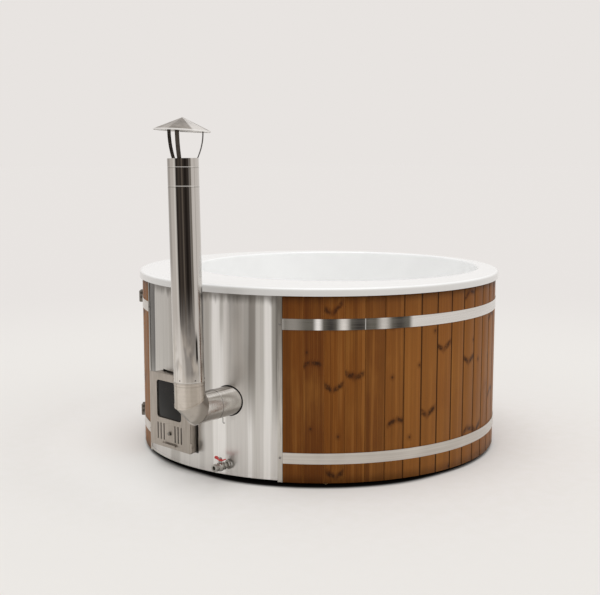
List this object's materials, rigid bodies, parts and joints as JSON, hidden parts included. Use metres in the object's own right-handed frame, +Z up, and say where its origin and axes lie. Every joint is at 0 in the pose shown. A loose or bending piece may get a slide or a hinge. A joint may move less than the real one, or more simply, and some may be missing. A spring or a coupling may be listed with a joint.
{
  "type": "wood-fired hot tub",
  "caption": "Round hot tub: moulded white liner with bench, upright board cladding under steel bands, built-in wood stove behind a curved steel panel, elbowed chimney, rain cap, drain valve.",
  "frame": {"origin": "on the floor, on the axis of the tub's round cladding", "axes": "+Z up; the stove door faces -Y; +X to the right of somebody who looks at the door"},
  "size_m": [1.9998, 2.3363, 1.7696],
  "materials": {
    "shell": "white gel coat, glossy",
    "cladding": "brown stained softwood, satin",
    "timber": "plain sawn softwood",
    "sheet_steel": "stainless sheet, half bright",
    "flue_steel": "stainless flue pipe, bright",
    "dark_steel": "plain steel, satin",
    "cast_iron": "cast, rough",
    "door_glass": "dark ceramic glass",
    "rope_seal": "woven glass-fibre rope",
    "black_seal": "matt",
    "pipe_plastic": "pressure pipe, matt",
    "nickel": "nickel plate, satin",
    "red_handle": "red paint, glossy"
  },
  "bodies": {
    "tub": {"liner": "shell", "drain_strainer": "sheet_steel", "boards_right": "cladding", "boards_back_right": "cladding", "boards_back_left": "cladding", "boards_left": "cladding", "upper_band": "sheet_steel", "upper_band_right": "sheet_steel", "upper_band_short": "sheet_steel", "lower_band": "sheet_steel", "lower_band_short": "sheet_steel", "tension_bolts": "dark_steel", "tension_nuts": "dark_steel", "inner_hoops": "sheet_steel", "frame_posts": "timber", "panel_posts": "timber", "bench_posts": "timber", "footwell_pads": "timber", "floor_disc": "timber", "middle_beam": "timber", "side_beams": "timber", "front_panel": "sheet_steel", "panel_strips": "sheet_steel", "strip_screws": "dark_steel", "water_jacket": "dark_steel", "fire_chamber": "dark_steel", "fire_grate": "cast_iron", "ash_pan": "dark_steel", "stove_collar": "sheet_steel", "stove_feet": "dark_steel", "heat_shield": "sheet_steel", "hinge_pins": "dark_steel", "hot_pipe": "sheet_steel", "return_pipe": "sheet_steel", "wall_grilles": "shell", "flue_bend": "dark_steel", "flue_seal": "black_seal", "elbow_foot": "flue_steel", "elbow_gore": "flue_steel", "elbow_sleeve": "flue_steel", "drain_pipe": "pipe_plastic", "valve_flange": "nickel", "valve_body": "nickel"},
    "door": {"door_plate": "sheet_steel", "door_glass": "door_glass", "glass_frame": "dark_steel", "door_seal": "rope_seal", "door_pull": "sheet_steel"},
    "air_control": {"air_slider": "dark_steel", "air_knob": "dark_steel"},
    "drain_tap": {"valve_ball": "nickel", "valve_handle": "red_handle", "handle_nut": "nickel"},
    "chimney": {"chimney_pipe": "flue_steel", "chimney_rivets": "dark_steel", "chimney_top": "flue_steel"},
    "rain_cap": {"cap_collar": "flue_steel", "cap_straps": "dark_steel", "cap_cone": "flue_steel"}
  },
  "joints": [
    {"name": "door_hinge", "type": "hinge", "parent": "tub", "child": "door", "pos_m": [0.1035, -1.0215, 0.3], "axis": [0, 0, 1], "range_deg": [0, 110]},
    {"name": "air_slide", "type": "slide", "parent": "door", "child": "air_control", "axis": [1, 0, 0], "range_m": [0, 0.011]},
    {"name": "drain_turn", "type": "hinge", "parent": "tub", "child": "drain_tap", "pos_m": [0.29947, -1.00037, 0.084], "axis": [0, 0, 1], "range_deg": [0, 90]},
    {"name": "chimney_lift", "type": "slide", "parent": "tub", "child": "chimney", "axis": [-0.0208, -0.002, 0.9998], "range_m": [0, 0.06]},
    {"name": "cap_lift", "type": "slide", "parent": "chimney", "child": "rain_cap", "axis": [-0.0208, -0.002, 0.9998], "range_m": [0, 0.04]}
  ]
}
